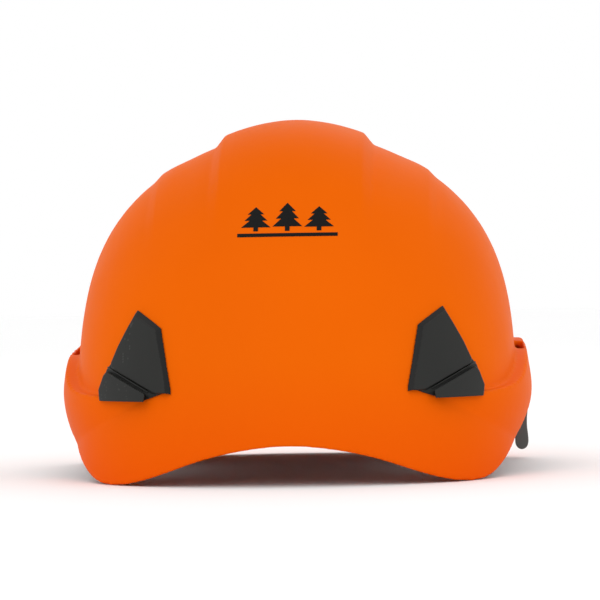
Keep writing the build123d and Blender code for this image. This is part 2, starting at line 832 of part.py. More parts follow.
def rear_plane(x, y, z):
    """Plane facing rearward."""
    return Plane(origin=(x, y, z), x_dir=(-1, 0, 0), z_dir=(0, 1, 0))


with BuildPart() as nape_cradle:
    add(
        ring_sector(
            sleeve_inner, sleeve_outer, sleeve_half_height, 90 - sleeve_half_deg, 90 + sleeve_half_deg
        )
    )
    add(
        ring_sector(
            sleeve_inner + sleeve_wall, sleeve_outer - sleeve_wall, sleeve_cavity_half,
            88 - sleeve_half_deg, 92 + sleeve_half_deg,
        ),
        mode=Mode.SUBTRACT,
    )
    with Locations(rear_plane(0, pinion_rear - 2, ring_z)):
        Cylinder(
            sleeve_port, 12, align=(Align.CENTER, Align.CENTER, Align.MIN), mode=Mode.SUBTRACT
        )
    for hand in (1, -1):
        with Locations(rear_plane(hand * housing_screw_x, ring_y + sleeve_inner + 1, ring_z)):
            Cylinder(
                housing_screw_radius + running_gap, 12,
                align=(Align.CENTER, Align.CENTER, Align.MIN), mode=Mode.SUBTRACT,
            )
nape_cradle.part.label = "nape_cradle"
export_step(nape_cradle.part, "parts/nape_cradle.step")

with BuildPart() as housing:
    with Locations(rear_plane(0, ring_y + 60, ring_z)):
        Cylinder(
            housing_radius, housing_rear - ring_y - 60, align=(Align.CENTER, Align.CENTER, Align.MIN)
        )
    with Locations((0, (ring_y + 60 + housing_ear_rear) / 2, ring_z)):
        Box(2 * housing_ear_x, housing_ear_rear - ring_y - 60, 2 * housing_ear_half)
    with Locations((0, ring_y, ring_z)):
        Cylinder(sleeve_outer + running_gap, 60, mode=Mode.SUBTRACT)
    with Locations(rear_plane(0, ring_y + 60, ring_z)):
        Cylinder(
            shaft_radius + running_gap, 60, align=(Align.CENTER, Align.CENTER, Align.MIN),
            mode=Mode.SUBTRACT,
        )
    for hand in (1, -1):
        with Locations(rear_plane(hand * housing_screw_x, ring_y + 60, ring_z)):
            Cylinder(
                housing_screw_radius + running_gap, 60,
                align=(Align.CENTER, Align.CENTER, Align.MIN), mode=Mode.SUBTRACT,
            )
housing.part.label = "ratchet_housing"
export_step(housing.part, "parts/ratchet_housing.step")

for hand, side in ((1, "left"), (-1, "right")):
    with BuildPart() as housing_screw:
        with Locations(rear_plane(hand * housing_screw_x, housing_screw_end, ring_z)):
            Cylinder(
                housing_screw_radius, housing_ear_rear - housing_screw_end + 0.5,
                align=(Align.CENTER, Align.CENTER, Align.MIN),
            )
        with Locations(rear_plane(hand * housing_screw_x, housing_ear_rear + running_gap, ring_z)):
            Cylinder(housing_screw_head, 1.6, align=(Align.CENTER, Align.CENTER, Align.MIN))
    housing_screw.part.label = "housing_screw_" + side
    export_step(housing_screw.part, "parts/housing_screw_" + side + ".step")

with BuildPart() as nape_pad:
    add(
        ring_sector(
            nape_pad_inner, sleeve_inner - soft_gap, nape_pad_half, 90 - nape_pad_half_deg,
            90 + nape_pad_half_deg,
        )
    )
nape_pad.part.label = "nape_pad"
export_step(nape_pad.part, "parts/nape_pad.step")

# ---- rack bands: the inner one has its teeth above the pinion, the outer one below ----
tooth_step = 2 * pi * pinion_pitch / pinion_teeth
for hand, side, radius in ((1, "left", rack_radii[0]), (-1, "right", rack_radii[1])):
    mean_radius = radius + rack_thick / 2
    step_deg = degrees(tooth_step / mean_radius)
    with BuildPart() as window:
        add(
            ring_sector(
                radius - 1, radius + rack_thick + 1, (rack_slot_plain + rack_tooth_tip_z) / 2,
                90 - rack_slot_half_deg, 90 + rack_slot_half_deg,
            )
        )
    window_part = Pos(0, 0, hand * (rack_tooth_tip_z - rack_slot_plain) / 2) * window.part
    with BuildPart() as gap:
        with BuildSketch(rear_plane(0, radius - 1, 0)):
            with BuildLine():
                tip_half = (tooth_step - rack_tooth_tip) / 2
                root_half = (tooth_step - rack_tooth_root) / 2
                Polyline(
                    (-tip_half, hand * (rack_tooth_tip_z - 0.4)), (tip_half, hand * (rack_tooth_tip_z - 0.4)),
                    (tip_half, hand * rack_tooth_tip_z), (root_half, hand * rack_tooth_root_z),
                    (-root_half, hand * rack_tooth_root_z), (-tip_half, hand * rack_tooth_tip_z),
                    close=True,
                )
            make_face()
        extrude(amount=rack_thick + 2)
    tooth_count = int((rack_slot_half_deg - step_deg / 2) / step_deg)
    with BuildPart() as rack:
        if hand > 0:
            add(
                ring_sector(
                    radius, radius + rack_thick, rack_half_height, rack_first_deg, rack_last_deg
                )
            )
        else:
            add(
                ring_sector(
                    radius, radius + rack_thick, rack_half_height, 180 - rack_last_deg,
                    180 - rack_first_deg,
                )
            )
        add(window_part, mode=Mode.SUBTRACT)
        for k in range(-tooth_count, tooth_count + 1):
            add(
                Pos(0, ring_y, ring_z) * Rot(0, 0, k * step_deg) * gap.part, mode=Mode.SUBTRACT
            )
    rack.part.label = "rack_band_" + side
    export_step(rack.part, "parts/rack_band_" + side + ".step")

# ---- pinion, knob, grip and knob screw ----
with BuildPart() as pinion:
    with BuildSketch(rear_plane(0, pinion_front, ring_z)):
        Circle(pinion_root)
        with BuildLine():
            Polyline(
                (-pinion_tooth / 2 - 0.2, 0), (-pinion_tooth / 2 - 0.2, pinion_root),
                (-pinion_tooth / 2, pinion_pitch), (-pinion_tooth_tip / 2, pinion_tip),
                (pinion_tooth_tip / 2, pinion_tip), (pinion_tooth / 2, pinion_pitch),
                (pinion_tooth / 2 + 0.2, pinion_root), (pinion_tooth / 2 + 0.2, 0), close=True,
            )
        tooth = make_face(mode=Mode.PRIVATE)
        with PolarLocations(0, pinion_teeth):
            add(tooth)
        Circle(knob_screw_radius + running_gap, mode=Mode.SUBTRACT)
    extrude(amount=pinion_rear - pinion_front)
pinion.part.label = "pinion"
export_step(pinion.part, "parts/pinion.step")

with BuildPart() as knob:
    with Locations(rear_plane(0, knob_front, ring_z)):
        Cylinder(
            knob_radius, knob_rear - knob_front, align=(Align.CENTER, Align.CENTER, Align.MIN)
        )
    with Locations(rear_plane(0, knob_rear - knob_lip_thick, ring_z)):
        Cylinder(knob_lip, knob_lip_thick, align=(Align.CENTER, Align.CENTER, Align.MIN))
    with Locations(rear_plane(0, pinion_rear, ring_z)):
        Cylinder(
            shaft_radius, knob_front - pinion_rear + 1, align=(Align.CENTER, Align.CENTER, Align.MIN)
        )
    with Locations(rear_plane(0, pinion_rear - 1, ring_z)):
        Cylinder(
            knob_screw_radius + running_gap, 30, align=(Align.CENTER, Align.CENTER, Align.MIN),
            mode=Mode.SUBTRACT,
        )
    with Locations(rear_plane(0, knob_rear - knob_recess, ring_z)):
        Cylinder(
            knob_screw_head + running_gap, 5, align=(Align.CENTER, Align.CENTER, Align.MIN),
            mode=Mode.SUBTRACT,
        )
knob.part.label = "adjuster_knob"
export_step(knob.part, "parts/adjuster_knob.step")

with BuildPart() as grip:
    with BuildSketch(rear_plane(0, knob_front + 0.3, ring_z)):
        Circle(grip_radius)
        with PolarLocations(grip_radius + 0.6, grip_scallops):
            Circle(grip_scallop_radius, mode=Mode.SUBTRACT)
        Circle(knob_radius + running_gap, mode=Mode.SUBTRACT)
    extrude(amount=knob_rear - knob_lip_thick - knob_front - 0.35)
grip.part.label = "knob_grip"
export_step(grip.part, "parts/knob_grip.step")

with BuildPart() as knob_screw:
    with Locations(rear_plane(0, pinion_front, ring_z)):
        Cylinder(
            knob_screw_radius, knob_rear - knob_recess - pinion_front + 0.5,
            align=(Align.CENTER, Align.CENTER, Align.MIN),
        )
    with Locations(rear_plane(0, knob_rear - knob_recess + running_gap, ring_z)):
        Cylinder(knob_screw_head, 1.8, align=(Align.CENTER, Align.CENTER, Align.MIN))
knob_screw.part.label = "knob_screw"
export_step(knob_screw.part, "parts/knob_screw.step")
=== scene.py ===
"""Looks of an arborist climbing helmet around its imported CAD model."""

import json
import math

import bmesh
import bpy
from mathutils import Matrix, Vector
from mathutils.bvhtree import BVHTree
from mathutils.geometry import delaunay_2d_cdt


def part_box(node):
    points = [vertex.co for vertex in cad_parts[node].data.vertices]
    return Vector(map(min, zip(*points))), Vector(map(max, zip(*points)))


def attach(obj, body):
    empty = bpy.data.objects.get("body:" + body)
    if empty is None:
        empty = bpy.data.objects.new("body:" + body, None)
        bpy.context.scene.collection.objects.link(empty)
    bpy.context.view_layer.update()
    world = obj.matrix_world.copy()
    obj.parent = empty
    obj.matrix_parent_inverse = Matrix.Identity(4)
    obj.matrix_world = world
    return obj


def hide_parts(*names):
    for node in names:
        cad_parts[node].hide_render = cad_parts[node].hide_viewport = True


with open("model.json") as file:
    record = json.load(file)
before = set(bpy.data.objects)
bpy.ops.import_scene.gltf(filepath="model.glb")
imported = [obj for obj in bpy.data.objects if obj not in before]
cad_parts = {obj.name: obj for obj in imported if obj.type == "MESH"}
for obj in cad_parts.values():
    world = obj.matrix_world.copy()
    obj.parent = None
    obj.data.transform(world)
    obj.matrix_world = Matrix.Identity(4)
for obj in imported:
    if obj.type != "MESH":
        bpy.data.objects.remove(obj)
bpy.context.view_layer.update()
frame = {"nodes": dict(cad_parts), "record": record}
nodes = frame["nodes"]
bodies = frame["record"]["behaviour"]["bodies"]
body_of = {}
for body, members in bodies.items():
    for member in members:
        body_of[member] = body
slot_of = {}
for part in frame["record"]["subparts"]:
    slot_of[part["node"]] = part["material_slot"]
MM = 0.001


# ---------------------------------------------------------------- materials
def new_material(name, colour, roughness, metallic=0.0):
    material = bpy.data.materials.new(name)
    material.use_nodes = True
    tree = material.node_tree
    shader = tree.nodes["Principled BSDF"]
    shader.inputs["Base Color"].default_value = (*colour, 1.0)
    shader.inputs["Roughness"].default_value = roughness
    shader.inputs["Metallic"].default_value = metallic
    return material, tree, shader


def node(tree, kind, **settings):
    made = tree.nodes.new(kind)
    for key, value in settings.items():
        if key in made.inputs:
            made.inputs[key].default_value = value
        else:
            setattr(made, key, value)
    return made


def noise(tree, where, scale, detail=2.0, roughness=0.5):
    made = node(tree, "ShaderNodeTexNoise")
    made.inputs["Scale"].default_value = scale
    made.inputs["Detail"].default_value = detail
    made.inputs["Roughness"].default_value = roughness
    tree.links.new(where, made.inputs["Vector"])
    return made.outputs["Fac"]


def ramp(tree, value, low, high, first, last):
    made = node(tree, "ShaderNodeMapRange")
    made.inputs["From Min"].default_value = low
    made.inputs["From Max"].default_value = high
    made.inputs["To Min"].default_value = first
    made.inputs["To Max"].default_value = last
    tree.links.new(value, made.inputs["Value"])
    return made.outputs["Result"]


def mix_colour(tree, factor, a, b, blend="MIX"):
    made = node(tree, "ShaderNodeMix", data_type="RGBA", blend_type=blend)
    for socket, value in ((made.inputs[6], a), (made.inputs[7], b)):
        if isinstance(value, tuple):
            socket.default_value = (*value, 1.0)
        else:
            tree.links.new(value, socket)
    if isinstance(factor, float):
        made.inputs[0].default_value = factor
    else:
        tree.links.new(factor, made.inputs[0])
    return made.outputs[2]


def maths(tree, operation, a, b=None, clamp=False):
    made = node(tree, "ShaderNodeMath", operation=operation, use_clamp=clamp)
    for i, value in enumerate((a, b)):
        if value is None:
            continue
        if isinstance(value, (int, float)):
            made.inputs[i].default_value = value
        else:
            tree.links.new(value, made.inputs[i])
    return made.outputs[0]


def bump(tree, shader, height, strength, distance):
    made = node(tree, "ShaderNodeBump")
    made.inputs["Strength"].default_value = strength
    made.inputs["Distance"].default_value = distance
    tree.links.new(height, made.inputs["Height"])
    tree.links.new(made.outputs["Normal"], shader.inputs["Normal"])


def moulded(name, colour, roughness, grain=2600.0, grain_depth=0.00002, wear=(1.25, 0.0), mottle=0.06):
    """Moulded plastic: fine spark-eroded grain, slow colour drift, faint scuffs and edge rub."""
    material, tree, shader = new_material(name, colour, roughness)
    shader.inputs["Specular IOR Level"].default_value = 0.22
    where = node(tree, "ShaderNodeTexCoord").outputs["Object"]
    slow = noise(tree, where, 18.0, 3.0)
    dark = tuple(c * (1 - mottle) for c in colour)
    pale = tuple(min(1.0, c * (1 + mottle) + mottle * 0.02) for c in colour)
    base = mix_colour(tree, ramp(tree, slow, 0.35, 0.65, 0.0, 1.0), dark, pale)
    stretched = node(tree, "ShaderNodeMapping")
    stretched.inputs["Scale"].default_value = (1.0, 0.25, 3.0)
    stretched.inputs["Rotation"].default_value = (0.5, 0.4, 0.9)
    tree.links.new(where, stretched.inputs["Vector"])
    scuffs = noise(tree, stretched.outputs["Vector"], 240.0, 4.0, 0.7)
    scuff_mask = ramp(tree, scuffs, 0.68, 0.78, 0.0, 1.0)
    edge = node(tree, "ShaderNodeNewGeometry").outputs["Pointiness"]
    rub = ramp(tree, edge, 0.54, 0.62, 0.0, 0.8)
    rub = maths(tree, "MULTIPLY", rub, ramp(tree, slow, 0.3, 0.7, 0.3, 1.0), clamp=True)
    worn = tuple(min(1.0, c * wear[0] + wear[1]) for c in colour)
    base = mix_colour(tree, rub, base, worn)
    tree.links.new(base, shader.inputs["Base Color"])
    rough = maths(tree, "ADD", ramp(tree, slow, 0.3, 0.7, roughness - 0.04, roughness + 0.04),
                  maths(tree, "MULTIPLY", scuff_mask, 0.08))
    tree.links.new(rough, shader.inputs["Roughness"])
    grain_height = noise(tree, where, grain, 2.0, 0.6)
    height = maths(tree, "SUBTRACT", grain_height, maths(tree, "MULTIPLY", scuff_mask, 0.6))
    bump(tree, shader, height, 0.35, grain_depth)
    return material


def shell_plastic():
    colour = (0.80, 0.120, 0.002)
    material, tree, shader = new_material("shell_orange_abs", colour, 0.44)
    shader.inputs["Specular IOR Level"].default_value = 0.06
    shader.inputs["IOR"].default_value = 1.22
    where = node(tree, "ShaderNodeTexCoord").outputs["Object"]
    slow = noise(tree, where, 9.0, 3.0)
    flow = node(tree, "ShaderNodeMapping")
    flow.inputs["Scale"].default_value = (1.0, 0.35, 0.35)
    tree.links.new(where, flow.inputs["Vector"])
    streaks = noise(tree, flow.outputs["Vector"], 60.0, 3.0, 0.6)
    base = mix_colour(tree, ramp(tree, slow, 0.3, 0.7, 0.0, 1.0), (0.790, 0.120, 0.0008), (0.830, 0.130, 0.001))
    base = mix_colour(tree, ramp(tree, streaks, 0.45, 0.8, 0.0, 0.25), base, (0.825, 0.130, 0.002))
    edge = node(tree, "ShaderNodeNewGeometry").outputs["Pointiness"]
    rub = maths(tree, "MULTIPLY", ramp(tree, edge, 0.52, 0.60, 0.0, 0.55), ramp(tree, streaks, 0.3, 0.7, 0.4, 1.0))
    base = mix_colour(tree, rub, base, (0.84, 0.150, 0.006))
    # painted shade: the shell's colour turns darker and redder towards its bottom rim, over the lowest 55 mm
    height_split = node(tree, "ShaderNodeSeparateXYZ")
    tree.links.new(where, height_split.inputs[0])
    bottom_painted_shade = ramp(tree, height_split.outputs[2], 0.0, 0.055, 0.75, 0.0)
    base = mix_colour(tree, bottom_painted_shade, base, (0.815, 0.088, 0.001))
    tree.links.new(base, shader.inputs["Base Color"])
    scratch = node(tree, "ShaderNodeMapping")
    scratch.inputs["Scale"].default_value = (0.3, 1.0, 4.0)
    scratch.inputs["Rotation"].default_value = (0.3, 0.9, 0.4)
    tree.links.new(where, scratch.inputs["Vector"])
    marks = ramp(tree, noise(tree, scratch.outputs["Vector"], 300.0, 5.0, 0.75), 0.70, 0.80, 0.0, 1.0)
    rough = maths(tree, "ADD", ramp(tree, streaks, 0.3, 0.7, 0.41, 0.48), maths(tree, "MULTIPLY", marks, 0.10))
    tree.links.new(rough, shader.inputs["Roughness"])
    peel = noise(tree, where, 700.0, 2.0, 0.5)
    fine = noise(tree, where, 3200.0, 2.0, 0.5)
    height = maths(tree, "ADD", maths(tree, "MULTIPLY", peel, 0.5), maths(tree, "MULTIPLY", fine, 0.5))
    height = maths(tree, "SUBTRACT", height, maths(tree, "MULTIPLY", marks, 0.4))
    bump(tree, shader, height, 0.30, 0.00003)
    return material


def woven(name, colour, pitch_u=900.0, pitch_v=700.0, fleck=0.25):
    """Narrow webbing: warp ribs along the strap crossed by the weft, on the strap's own map."""
    material, tree, shader = new_material(name, colour, 0.78)
    shader.inputs["Sheen Weight"].default_value = 0.35
    shader.inputs["Sheen Roughness"].default_value = 0.45
    uv = node(tree, "ShaderNodeUVMap", uv_map="strap").outputs["UV"]
    split = node(tree, "ShaderNodeSeparateXYZ")
    tree.links.new(uv, split.inputs[0])
    across, along = split.outputs[0], split.outputs[1]
    warp = maths(tree, "SINE", maths(tree, "MULTIPLY", across, 2 * math.pi * pitch_u))
    shift = maths(tree, "MULTIPLY", maths(tree, "FLOOR", maths(tree, "MULTIPLY", across, pitch_u)), math.pi)
    weft = maths(tree, "SINE", maths(tree, "ADD", maths(tree, "MULTIPLY", along, 2 * math.pi * pitch_v), shift))
    weave = maths(tree, "MULTIPLY", maths(tree, "ADD", warp, 1.4), maths(tree, "ADD", weft, 1.6))
    weave = maths(tree, "MULTIPLY", weave, 0.16)
    where = node(tree, "ShaderNodeTexCoord").outputs["Object"]
    fuzz = noise(tree, where, 2200.0, 3.0, 0.7)
    pale = tuple(min(1.0, c * 2.2 + 0.012) for c in colour)
    base = mix_colour(tree, ramp(tree, weave, 0.1, 0.9, 0.0, 0.55), colour, pale)
    base = mix_colour(tree, ramp(tree, fuzz, 0.45, 0.75, 0.0, fleck), base, pale)
    tree.links.new(base, shader.inputs["Base Color"])
    height = maths(tree, "ADD", weave, maths(tree, "MULTIPLY", fuzz, 0.35))
    bump(tree, shader, height, 0.8, 0.00022)
    return material


def knitted(name, colour, scale=620.0):
    """Brushed knit over foam: small staggered loops, pilling and sheen."""
    material, tree, shader = new_material(name, colour, 0.88)
    shader.inputs["Sheen Weight"].default_value = 0.5
    shader.inputs["Sheen Roughness"].default_value = 0.5
    where = node(tree, "ShaderNodeTexCoord").outputs["Object"]
    cells = node(tree, "ShaderNodeTexVoronoi", feature="F1")
    cells.inputs["Scale"].default_value = scale
    cells.inputs["Randomness"].default_value = 0.35
    tree.links.new(where, cells.inputs["Vector"])
    loops = ramp(tree, cells.outputs["Distance"], 0.0, 0.75, 1.0, 0.0)
    fuzz = noise(tree, where, 1500.0, 4.0, 0.75)
    slow = noise(tree, where, 40.0, 3.0)
    pale = tuple(min(1.0, c * 2.4 + 0.01) for c in colour)
    base = mix_colour(tree, ramp(tree, loops, 0.2, 1.0, 0.0, 0.6), colour, pale)
    base = mix_colour(tree, ramp(tree, slow, 0.4, 0.7, 0.0, 0.35), base, pale)
    tree.links.new(base, shader.inputs["Base Color"])
    height = maths(tree, "ADD", loops, maths(tree, "MULTIPLY", fuzz, 0.5))
    bump(tree, shader, height, 0.7, 0.0002)
    return material


def metal(name, colour, roughness):
    material, tree, shader = new_material(name, colour, roughness, 1.0)
    where = node(tree, "ShaderNodeTexCoord").outputs["Object"]
    lay = node(tree, "ShaderNodeMapping")
    lay.inputs["Scale"].default_value = (1.0, 12.0, 1.0)
    tree.links.new(where, lay.inputs["Vector"])
    brushed = noise(tree, lay.outputs["Vector"], 500.0, 4.0, 0.7)
    tree.links.new(ramp(tree, brushed, 0.3, 0.7, roughness - 0.08, roughness + 0.12), shader.inputs["Roughness"])
    base = mix_colour(tree, ramp(tree, brushed, 0.3, 0.8, 0.0, 1.0), tuple(c * 0.85 for c in colour), colour)
    tree.links.new(base, shader.inputs["Base Color"])
    bump(tree, shader, brushed, 0.25, 0.00003)
    return material


def printed(name):
    material, tree, shader = new_material(name, (0.003, 0.003, 0.003), 0.5)
    shader.inputs["Specular IOR Level"].default_value = 0.12
    where = node(tree, "ShaderNodeTexCoord").outputs["Object"]
    ink = noise(tree, where, 1800.0, 4.0, 0.7)
    base = mix_colour(tree, ramp(tree, ink, 0.45, 0.8, 0.0, 1.0), (0.0025, 0.0025, 0.0025), (0.008, 0.007, 0.006))
    tree.links.new(base, shader.inputs["Base Color"])
    tree.links.new(ramp(tree, ink, 0.3, 0.7, 0.36, 0.50), shader.inputs["Roughness"])
    bump(tree, shader, ink, 0.3, 0.00002)
    return material


materials = {
    "shell_orange": shell_plastic(),
    "dark_plastic": moulded("dark_grained_nylon", (0.0150, 0.0155, 0.0140), 0.50, 1500.0, 0.00005, (2.2, 0.010)),
    "clip_plastic": moulded("clip_nylon", (0.020, 0.021, 0.0195), 0.48, 1500.0, 0.00005, (2.0, 0.012)),
    "black_plastic": moulded("black_acetal", (0.012, 0.012, 0.013), 0.42, 2200.0, 0.00003, (2.6, 0.012)),
    "band_plastic": moulded("headband_nylon", (0.020, 0.020, 0.022), 0.46, 1800.0, 0.00004, (2.2, 0.012)),
    "gear_plastic": moulded("natural_acetal", (0.62, 0.60, 0.54), 0.35, 2600.0, 0.00001, (1.05, 0.0)),
    "steel_fastener": metal("zinc_plated_steel", (0.62, 0.62, 0.64), 0.34),
    "webbing": woven("black_webbing", (0.024, 0.024, 0.026)),
    "pad_fabric": knitted("pad_knit", (0.034, 0.034, 0.038)),
    "grip_rubber": moulded("grip_rubber_moulded", (0.010, 0.010, 0.011), 0.72, 1200.0, 0.00008, (2.0, 0.01)),
}
ink = printed("pad_print_ink")
thread = woven("stitch_thread", (0.11, 0.11, 0.115), 3000.0, 1800.0)


# ---------------------------------------------------------------- helpers
def add_piece(name, mesh, material, body, slot, *replaced):
    piece = bpy.data.objects.new(name, mesh)
    bpy.context.scene.collection.objects.link(piece)
    mesh.materials.clear()
    mesh.materials.append(material)
    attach(piece, body)
    if replaced:
        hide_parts(*replaced)
    return piece


def baked(piece):
    """The piece's mesh with its modifiers applied."""
    bpy.context.view_layer.update()
    graph = bpy.context.evaluated_depsgraph_get()
    return bpy.data.meshes.new_from_object(piece.evaluated_get(graph))


def temporary(mesh):
    piece = bpy.data.objects.new("temporary", mesh)
    bpy.context.scene.collection.objects.link(piece)
    return piece


def shade(mesh, smooth=True):
    mesh.polygons.foreach_set("use_smooth", [smooth] * len(mesh.polygons))


def softened(name, voxel, rounds, factor=0.5):
    """A CAD node's shape with the small radii that moulding gives its edges."""
    mesh = nodes[name].data.copy()
    piece = temporary(mesh)
    remesh = piece.modifiers.new("remesh", "REMESH")
    remesh.mode = "VOXEL"
    remesh.voxel_size = voxel
    remesh.use_smooth_shade = True
    ease = piece.modifiers.new("ease", "SMOOTH")
    ease.factor = factor
    ease.iterations = rounds
    made = baked(piece)
    bpy.data.objects.remove(piece)
    shade(made)
    return made


def surface_tree(name):
    mesh = nodes[name].data
    mesh.calc_loop_triangles()
    points = [v.co.copy() for v in mesh.vertices]
    faces = [tuple(t.vertices) for t in mesh.loop_triangles]
    return BVHTree.FromPolygons(points, faces)


def mesh_from(name, points, faces):
    mesh = bpy.data.meshes.new(name)
    mesh.from_pydata([tuple(p) for p in points], [], faces)
    mesh.validate()
    mesh.update()
    return mesh


# ---------------------------------------------------------------- shell
shell_mesh = softened("shell", 0.92 * MM, 2)
add_piece("shell_moulded", shell_mesh, materials["shell_orange"], "shell", "shell_orange", "shell")

# ---------------------------------------------------------------- plastic pieces
small = {
    "side_plate_left": 0.40, "side_plate_right": 0.40,
    "front_lamp_clip_left": 0.35, "front_lamp_clip_right": 0.35,
    "rear_clip_base_left": 0.35, "rear_clip_base_right": 0.35,
    "rear_clip_left": 0.32, "rear_clip_right": 0.32,
    "plate_retainer_left": 0.3, "plate_retainer_right": 0.3,
    "strap_key_front_left": 0.4, "strap_key_side_left": 0.4, "strap_key_rear_left": 0.4,
    "strap_key_rear_right": 0.4, "strap_key_side_right": 0.4, "strap_key_front_right": 0.4,
    "headband": 0.5, "temple_pin_left": 0.3, "temple_pin_right": 0.3,
    "hanger_left": 0.35, "hanger_right": 0.35,
    "nape_cradle": 0.4, "ratchet_housing": 0.45,
    "rack_band_left": 0.35, "rack_band_right": 0.35,
    "adjuster_knob": 0.45, "knob_grip": 0.4, "pinion": 0.2,
}
soft_nodes = [
    "crown_strap_side", "crown_strap_left_front", "crown_strap_right_front",
    "crown_pad", "sweatband", "nape_pad",
]
shell_tree = BVHTree.FromPolygons(
    [v.co.copy() for v in shell_mesh.vertices], [tuple(p.vertices) for p in shell_mesh.polygons]
)
bevel_line = [(0.0700, 0.0793), (0.0620, 0.0736), (0.0592, 0.0714), (0.0544, 0.0450), (0.0540, 0.0416)]
# painted shade: a darker copy of the side plates' nylon, given to the bevel faces
bevel_painted_shade = moulded("dark_nylon_bevel_painted_shade", (0.0050, 0.0052, 0.0048), 0.42, 1500.0, 0.00004, (1.5, 0.002))
grey_clip = moulded("grey_clip_nylon", (0.115, 0.117, 0.112), 0.40, 1500.0, 0.00004, (1.5, 0.02))


def line_distance(x, z, line):
    best = 1.0
    for (x0, z0), (x1, z1) in zip(line, line[1:]):
        run = (x1 - x0) ** 2 + (z1 - z0) ** 2
        share = min(1.0, max(0.0, ((x - x0) * (x1 - x0) + (z - z0) * (z1 - z0)) / run))
        best = min(best, math.hypot(x - x0 - share * (x1 - x0), z - z0 - share * (z1 - z0)))
    return best


def bevelled(mesh):
    """A side plate whose inner and upper edges fall away in a bevel about 2.4 mm wide; the bevel faces take a darker
    copy of the plate's nylon, painted shade.
    """
    touched = set()
    for v in mesh.vertices:
        away = line_distance(abs(v.co.x), v.co.z, bevel_line)
        if away > 2.4 * MM:
            continue
        near = shell_tree.find_nearest(v.co)
        limit = 0.5 * MM + 1.8 * MM * away / (2.4 * MM)
        if v.co.y < near[0].y and near[3] > limit:
            v.co = near[0] + (v.co - near[0]).normalized() * limit
            touched.add(v.index)
    mesh.materials.append(bevel_painted_shade)
    for face in mesh.polygons:
        if all(i in touched for i in face.vertices):
            face.material_index = 1


def rib(name, hand, start, end, width, low, high):
    """A narrow raised rib on the shell's front, between two points seen from the front."""
    points, faces = [], []
    run = Vector((hand * (end[0] - start[0]), 0, end[1] - start[1])).normalized()
    count = 24
    for k in range(count + 1):
        x = hand * (start[0] + (end[0] - start[0]) * k / count)
        z = start[1] + (end[1] - start[1]) * k / count
        hit, normal, index, distance = shell_tree.ray_cast(Vector((x, -0.3, z)), Vector((0, 1, 0)))
        side = run.cross(normal).normalized()
        taper = min(1.0, 0.25 + 5.0 * min(k, count - k) / count)
        top = low + (high - low) * taper
        for across, lift in ((-0.5, low), (-0.42, top * 0.92), (-0.25, top), (0.25, top), (0.42, top * 0.92), (0.5, low)):
            points.append(hit + side * (across * width) + normal * lift)
    for k in range(count):
        for i in range(6):
            j = (i + 1) % 6
            faces.append((k * 6 + i, k * 6 + j, (k + 1) * 6 + j, (k + 1) * 6 + i))
    faces.append(tuple(range(6)))
    faces.append(tuple(count * 6 + i for i in reversed(range(6))))
    mesh = mesh_from(name, points, faces)
    build = bmesh.new()
    build.from_mesh(mesh)
    bmesh.ops.recalc_face_normals(build, faces=build.faces)
    build.to_mesh(mesh)
    build.free()
    shade(mesh)
    return mesh


for name, voxel in small.items():
    mesh = softened(name, voxel * MM, 2)
    slot = slot_of[name]
    finish = grey_clip if name.startswith("rear_clip") else materials[slot]
    piece = add_piece(name + "_moulded", mesh, finish, body_of[name], slot, name)
    if name.startswith("side_plate"):
        bevelled(mesh)
# painted shadow: a dark plastic rib laid along the slot between each side plate and its lamp clip, standing for the
# shadow in that gap
for hand, side in ((1, "left"), (-1, "right")):
    mesh = rib("slot_shadow_rib_" + side, hand, (0.0838, 0.0530), (0.0640, 0.0420), 0.9 * MM, 0.92 * MM, 1.9 * MM)
    add_piece("plate_slot_rib_" + side, mesh, materials["dark_plastic"], "shell", "dark_plastic")
for name, slot in slot_of.items():
    if name not in small and name not in soft_nodes and name != "shell":
        nodes[name].data.materials.clear()
        nodes[name].data.materials.append(materials[slot])


# ---------------------------------------------------------------- printed mark
def fir(centre, half, foot, top):
    """Outline of a fir tree in three tiers with a short trunk."""
    rise = top - foot
    right = [
        (half * 0.16, foot), (half * 0.16, foot + 0.16 * rise), (half, foot + 0.16 * rise),
        (half * 0.42, foot + 0.44 * rise), (half * 0.78, foot + 0.44 * rise),
        (half * 0.30, foot + 0.70 * rise), (half * 0.56, foot + 0.70 * rise),
    ]
    left = [(-x, z) for x, z in reversed(right)]
    return [(centre + x, z) for x, z in right + [(0.0, top)] + left]


def decal(name, outlines, spacing, lift):
    """Flat outlines, divided finely and laid on the shell's front, seen along +Y."""
    points, faces = [], []
    for outline in outlines:
        ring = []
        for (x0, z0), (x1, z1) in zip(outline, outline[1:] + outline[:1]):
            steps = max(1, int(math.hypot(x1 - x0, z1 - z0) / spacing))
            for i in range(steps):
                ring.append((x0 + (x1 - x0) * i / steps, z0 + (z1 - z0) * i / steps))
        inner = []
        low_x, high_x = min(p[0] for p in ring), max(p[0] for p in ring)
        low_z, high_z = min(p[1] for p in ring), max(p[1] for p in ring)
        for i in range(1, int((high_x - low_x) / spacing)):
            for j in range(1, int((high_z - low_z) / spacing)):
                x, z = low_x + i * spacing, low_z + j * spacing
                crossings = 0
                for (x0, z0), (x1, z1) in zip(outline, outline[1:] + outline[:1]):
                    if (z0 > z) != (z1 > z) and x < x0 + (z - z0) / (z1 - z0) * (x1 - x0):
                        crossings += 1
                if crossings % 2:
                    inner.append((x, z))
        flat = [Vector(p) for p in ring + inner]
        edges = [(i, (i + 1) % len(ring)) for i in range(len(ring))]
        made = delaunay_2d_cdt(flat, edges, [], 1, 1e-7)
        start = len(points)
        for p in made[0]:
            hit, normal, index, distance = shell_tree.ray_cast(Vector((p.x, -0.3, p.y)), Vector((0, 1, 0)))
            points.append(hit + normal * lift)
        faces.extend(tuple(start + i for i in face) for face in made[2])
    mesh = mesh_from(name, points, faces)
    build = bmesh.new()
    build.from_mesh(mesh)
    bmesh.ops.recalc_face_normals(build, faces=build.faces)
    if sum(f.normal.y for f in build.faces) > 0:
        bmesh.ops.reverse_faces(build, faces=build.faces)
    build.to_mesh(mesh)
    build.free()
    shade(mesh)
    return mesh


